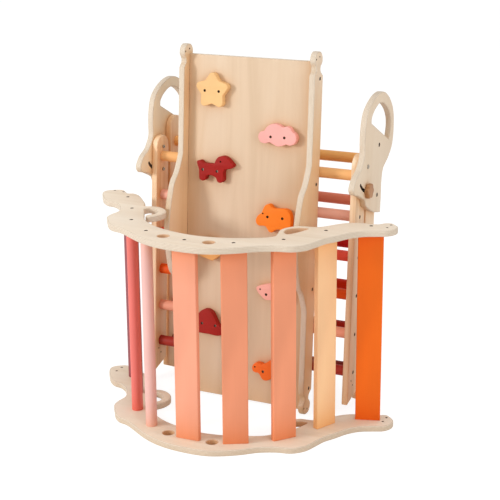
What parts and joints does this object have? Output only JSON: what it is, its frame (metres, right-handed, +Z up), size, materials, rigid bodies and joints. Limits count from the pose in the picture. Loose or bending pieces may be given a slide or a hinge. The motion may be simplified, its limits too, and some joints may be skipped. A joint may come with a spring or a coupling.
{
  "type": "pikler triangle set",
  "caption": "Wooden toddler climbing set: a folding triangle with locking head plates, a climbing ramp with shaped holds, and an arch of dowels and slats, put together for display.",
  "frame": {"origin": "centre of the set's footprint on the floor", "axes": "+X to the right seen from the front, +Y from the arch towards the triangle behind it, +Z up"},
  "size_m": [0.9966, 0.7248, 1.0974],
  "materials": {
    "pine": "smooth clear-sealed solid wood",
    "birch_ply": "clear-sealed birch plywood with a pale layered edge",
    "board_ply": "smooth clear-sealed plywood board",
    "beech": "turned light brown wood",
    "steel": "zinc-plated screw and bolt heads",
    "paint_front_rung_1": "satin water-based paint on turned wood",
    "paint_front_rung_2": "satin water-based paint on turned wood",
    "paint_front_rung_3": "satin water-based paint on turned wood",
    "paint_front_rung_4": "satin water-based paint on turned wood",
    "paint_front_rung_5": "satin water-based paint on turned wood",
    "paint_front_rung_6": "satin water-based paint on turned wood",
    "paint_back_rung_1": "satin water-based paint on turned wood",
    "paint_back_rung_2": "satin water-based paint on turned wood",
    "paint_back_rung_3": "satin water-based paint on turned wood",
    "paint_back_rung_4": "satin water-based paint on turned wood",
    "paint_back_rung_5": "satin water-based paint on turned wood",
    "paint_back_rung_6": "satin water-based paint on turned wood",
    "paint_hold_star": "satin water-based paint on sawn wood",
    "paint_hold_cloud": "satin water-based paint on sawn wood",
    "paint_hold_dog": "satin water-based paint on sawn wood",
    "paint_hold_pig": "satin water-based paint on sawn wood",
    "paint_hold_pebble": "satin water-based paint on sawn wood",
    "paint_hold_fish": "satin water-based paint on sawn wood",
    "paint_hold_dome": "satin water-based paint on sawn wood",
    "paint_hold_bear": "satin water-based paint on sawn wood",
    "paint_dowel_1": "satin water-based paint on turned wood",
    "paint_dowel_2": "satin water-based paint on turned wood",
    "paint_dowel_3": "satin water-based paint on turned wood",
    "paint_dowel_4": "satin water-based paint on turned wood",
    "paint_slat_1": "satin water-based paint on planed wood",
    "paint_slat_2": "satin water-based paint on planed wood",
    "paint_slat_3": "satin water-based paint on planed wood",
    "paint_slat_4": "satin water-based paint on planed wood",
    "paint_slat_5": "satin water-based paint on planed wood"
  },
  "bodies": {
    "front_frame": {"front_stile_left": "pine", "front_stile_right": "pine", "front_rung_1": "paint_front_rung_1", "front_rung_2": "paint_front_rung_2", "front_rung_3": "paint_front_rung_3", "front_rung_4": "paint_front_rung_4", "front_rung_5": "paint_front_rung_5", "front_rung_6": "paint_front_rung_6", "pivot_bolt_left": "steel", "lock_bolt_left": "steel", "pivot_bolt_right": "steel", "lock_bolt_right": "steel"},
    "back_frame": {"back_stile_left": "pine", "back_stile_right": "pine", "back_rung_1": "paint_back_rung_1", "back_rung_2": "paint_back_rung_2", "back_rung_3": "paint_back_rung_3", "back_rung_4": "paint_back_rung_4", "back_rung_5": "paint_back_rung_5", "back_rung_6": "paint_back_rung_6", "head_plate_left": "birch_ply", "head_screw_high_left": "steel", "head_screw_low_left": "steel", "head_plate_right": "birch_ply", "head_screw_high_right": "steel", "head_screw_low_right": "steel"},
    "lock_knob_left": {"lock_knob_left": "beech"},
    "lock_knob_right": {"lock_knob_right": "beech"},
    "ramp": {"ramp_board": "board_ply", "ramp_rail_left": "birch_ply", "ramp_rail_right": "birch_ply", "hold_star": "paint_hold_star", "hold_cloud": "paint_hold_cloud", "hold_dog": "paint_hold_dog", "hold_pig": "paint_hold_pig", "hold_pebble": "paint_hold_pebble", "hold_fish": "paint_hold_fish", "hold_dome": "paint_hold_dome", "hold_bear": "paint_hold_bear"},
    "arch": {"arch_plate_bottom": "birch_ply", "arch_plate_top": "birch_ply", "arch_dowel_1": "paint_dowel_1", "arch_dowel_2": "paint_dowel_2", "arch_dowel_3": "paint_dowel_3", "arch_dowel_4": "paint_dowel_4", "arch_slat_1": "paint_slat_1", "arch_slat_2": "paint_slat_2", "arch_slat_3": "paint_slat_3", "arch_slat_4": "paint_slat_4", "arch_slat_5": "paint_slat_5"}
  },
  "joints": [
    {"name": "triangle_fold", "type": "hinge", "parent": "front_frame", "child": "back_frame", "pos_m": [0.007, 0.1495, 0.76573], "axis": [1, 0, 0], "range_deg": [0, 42]},
    {"name": "lock_knob_turn_left", "type": "hinge", "parent": "front_frame", "child": "lock_knob_left", "pos_m": [-0.363, 0.14429, 0.69482], "axis": [1, 0, 0], "continuous": true},
    {"name": "lock_knob_turn_right", "type": "hinge", "parent": "front_frame", "child": "lock_knob_right", "pos_m": [0.377, 0.14429, 0.69482], "axis": [1, 0, 0], "continuous": true},
    {"name": "ramp_lift", "type": "slide", "parent": "front_frame", "child": "ramp", "axis": [0, 0.0732, 0.9973], "range_m": [0, 0.3]},
    {"name": "arch_pull", "type": "slide", "parent": "front_frame", "child": "arch", "axis": [0, -1, 0], "range_m": [0, 0.3]}
  ]
}
